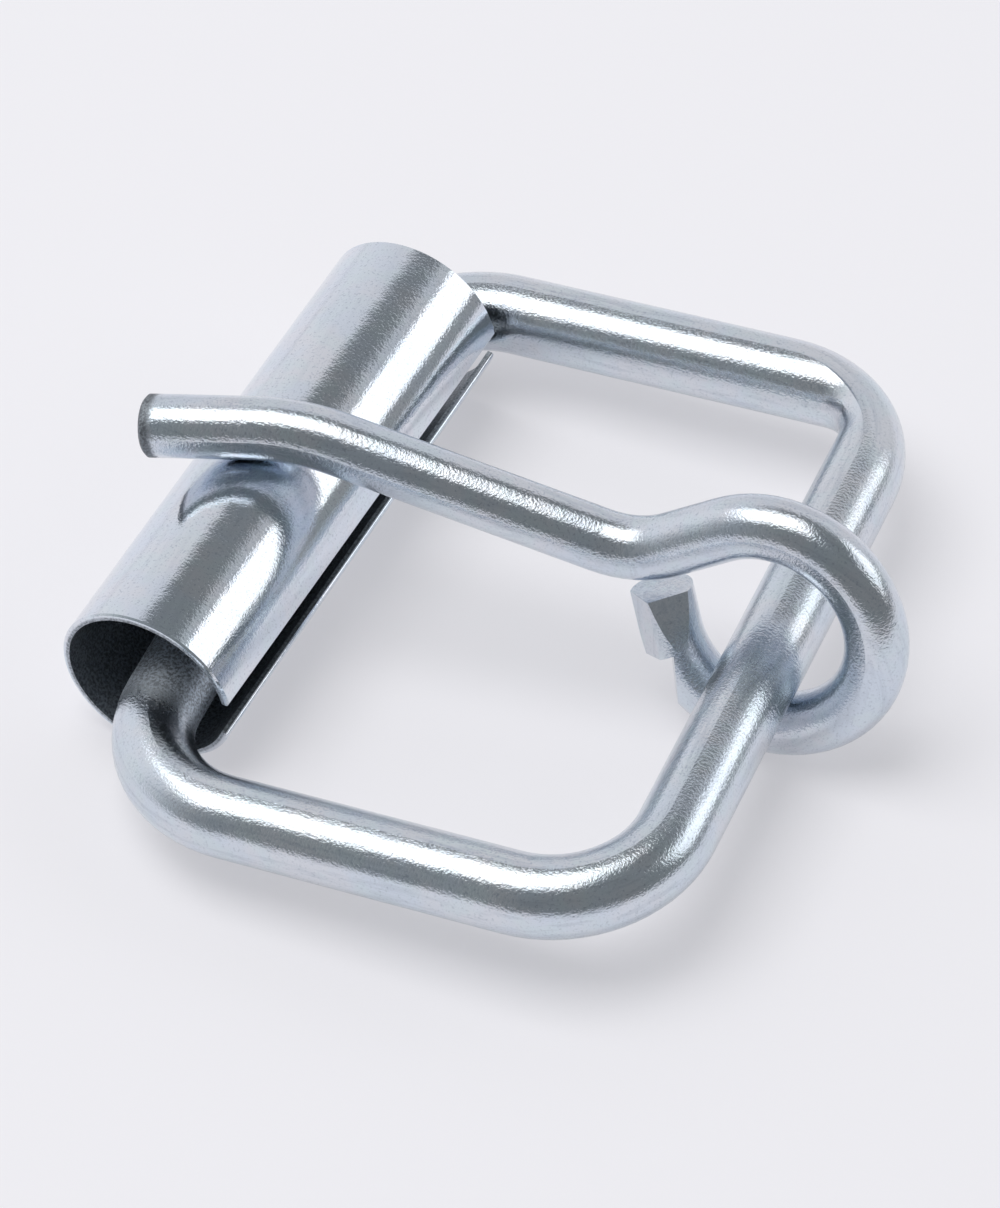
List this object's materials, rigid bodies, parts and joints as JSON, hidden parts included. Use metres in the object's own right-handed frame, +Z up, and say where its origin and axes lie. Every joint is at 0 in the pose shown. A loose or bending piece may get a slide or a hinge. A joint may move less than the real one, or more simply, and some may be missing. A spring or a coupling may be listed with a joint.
{
  "type": "wire roller buckle for strapping",
  "caption": "Bright zinc-plated wire buckle for a packaging or cargo strap: rounded wire frame, loose split roller on one bar and a wire tongue whose open eye swings on the strap bar.",
  "frame": {"origin": "middle of the strap bar's centre line, where the tongue's eye hangs", "axes": "+Z up as the buckle lies on a table; +Y along the strap bar; the roller and the tongue's tip lie towards -X"},
  "size_m": [0.0313, 0.0318, 0.0108],
  "materials": {
    "frame_wire": "bright zinc-plated steel wire, drawn and bent, faint bluish passivation, lightly scuffed",
    "roller_sheet": "bright zinc-plated steel sheet, rolled smooth, faint bluish passivation",
    "tongue_wire": "bright zinc-plated steel wire, drawn and bent, sheared ends"
  },
  "bodies": {
    "frame": {"frame": "frame_wire"},
    "roller": {"roller": "roller_sheet"},
    "tongue": {"tongue": "tongue_wire"}
  },
  "joints": [
    {"name": "tongue_swing", "type": "hinge", "parent": "frame", "child": "tongue", "pos_m": [0, 0, 0], "axis": [0, 1, 0], "range_deg": [0, 330]},
    {"name": "roller_spin", "type": "hinge", "parent": "frame", "child": "roller", "pos_m": [-0.02103, 0, -0.00048], "axis": [0.0748, 0.9972, 0.0054], "continuous": true}
  ]
}
